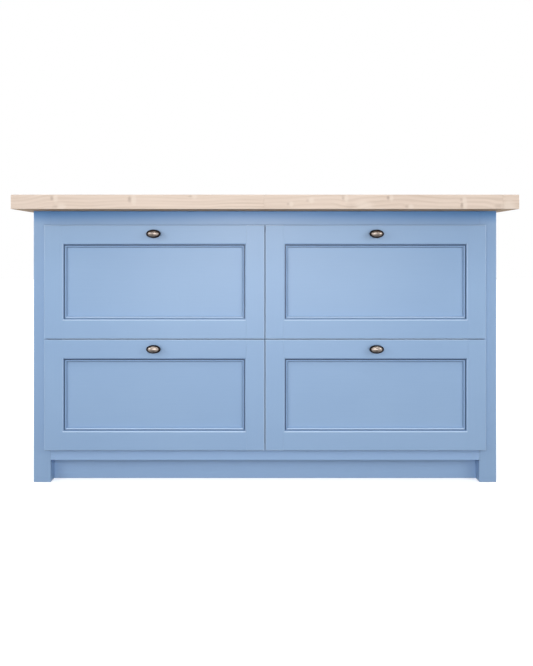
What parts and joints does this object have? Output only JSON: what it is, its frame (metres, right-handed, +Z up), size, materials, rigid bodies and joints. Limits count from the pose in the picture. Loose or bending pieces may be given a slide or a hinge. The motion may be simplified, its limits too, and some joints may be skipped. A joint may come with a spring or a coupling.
{
  "type": "kitchen island unit",
  "caption": "Freestanding framed kitchen island with deep sliding pan drawers, beaded lay-on fronts, a thick overhanging timber worktop and posts that run down as feet.",
  "frame": {"origin": "on the floor under the middle of the worktop, at the centre of the bounding box's bottom", "axes": "+X along the worktop's length, to the right when facing the drawers; drawers open towards -Y; +Z up"},
  "size_m": [1.55, 0.81, 0.914],
  "materials": {
    "blue_painted_timber": "satin eggshell paint, brushed",
    "limed_pine": "matt limed and oiled softwood",
    "birch_board": "clear satin lacquer",
    "zinc_plated_steel": "bright zinc plate",
    "antique_pewter": "dark antique, worn bright on the dome"
  },
  "bodies": {
    "cabinet": {"worktop": "limed_pine", "post_front_left": "blue_painted_timber", "post_back_left": "blue_painted_timber", "post_front_right": "blue_painted_timber", "post_back_right": "blue_painted_timber", "front_top_rail": "blue_painted_timber", "front_bottom_rail": "blue_painted_timber", "end_top_rail_left": "blue_painted_timber", "end_bottom_rail_left": "blue_painted_timber", "end_panel_left": "blue_painted_timber", "end_top_rail_right": "blue_painted_timber", "end_bottom_rail_right": "blue_painted_timber", "end_panel_right": "blue_painted_timber", "back_frame": "blue_painted_timber", "back_panel_left": "blue_painted_timber", "back_panel_right": "blue_painted_timber", "plinth_front": "blue_painted_timber", "plinth_back": "blue_painted_timber", "plinth_left": "blue_painted_timber", "plinth_right": "blue_painted_timber", "carcass_side_left": "birch_board", "carcass_side_right": "birch_board", "carcass_floor": "birch_board", "centre_partition": "birch_board", "upper_left_cabinet_slide_outer": "zinc_plated_steel", "upper_left_cabinet_slide_inner": "zinc_plated_steel", "upper_right_cabinet_slide_outer": "zinc_plated_steel", "upper_right_cabinet_slide_inner": "zinc_plated_steel", "lower_left_cabinet_slide_outer": "zinc_plated_steel", "lower_left_cabinet_slide_inner": "zinc_plated_steel", "lower_right_cabinet_slide_outer": "zinc_plated_steel", "lower_right_cabinet_slide_inner": "zinc_plated_steel"},
    "upper_left_drawer": {"upper_left_front_frame": "blue_painted_timber", "upper_left_front_panel": "blue_painted_timber", "upper_left_knob": "antique_pewter", "upper_left_box": "birch_board", "upper_left_box_bottom": "birch_board", "upper_left_drawer_slide_outer": "zinc_plated_steel", "upper_left_drawer_slide_inner": "zinc_plated_steel"},
    "upper_right_drawer": {"upper_right_front_frame": "blue_painted_timber", "upper_right_front_panel": "blue_painted_timber", "upper_right_knob": "antique_pewter", "upper_right_box": "birch_board", "upper_right_box_bottom": "birch_board", "upper_right_drawer_slide_outer": "zinc_plated_steel", "upper_right_drawer_slide_inner": "zinc_plated_steel"},
    "lower_left_drawer": {"lower_left_front_frame": "blue_painted_timber", "lower_left_front_panel": "blue_painted_timber", "lower_left_knob": "antique_pewter", "lower_left_box": "birch_board", "lower_left_box_bottom": "birch_board", "lower_left_drawer_slide_outer": "zinc_plated_steel", "lower_left_drawer_slide_inner": "zinc_plated_steel"},
    "lower_right_drawer": {"lower_right_front_frame": "blue_painted_timber", "lower_right_front_panel": "blue_painted_timber", "lower_right_knob": "antique_pewter", "lower_right_box": "birch_board", "lower_right_box_bottom": "birch_board", "lower_right_drawer_slide_outer": "zinc_plated_steel", "lower_right_drawer_slide_inner": "zinc_plated_steel"}
  },
  "joints": [
    {"name": "upper_left_drawer_slide", "type": "slide", "parent": "cabinet", "child": "upper_left_drawer", "axis": [0, -1, 0], "range_m": [0, 0.375]},
    {"name": "upper_right_drawer_slide", "type": "slide", "parent": "cabinet", "child": "upper_right_drawer", "axis": [0, -1, 0], "range_m": [0, 0.375]},
    {"name": "lower_left_drawer_slide", "type": "slide", "parent": "cabinet", "child": "lower_left_drawer", "axis": [0, -1, 0], "range_m": [0, 0.375]},
    {"name": "lower_right_drawer_slide", "type": "slide", "parent": "cabinet", "child": "lower_right_drawer", "axis": [0, -1, 0], "range_m": [0, 0.375]}
  ]
}
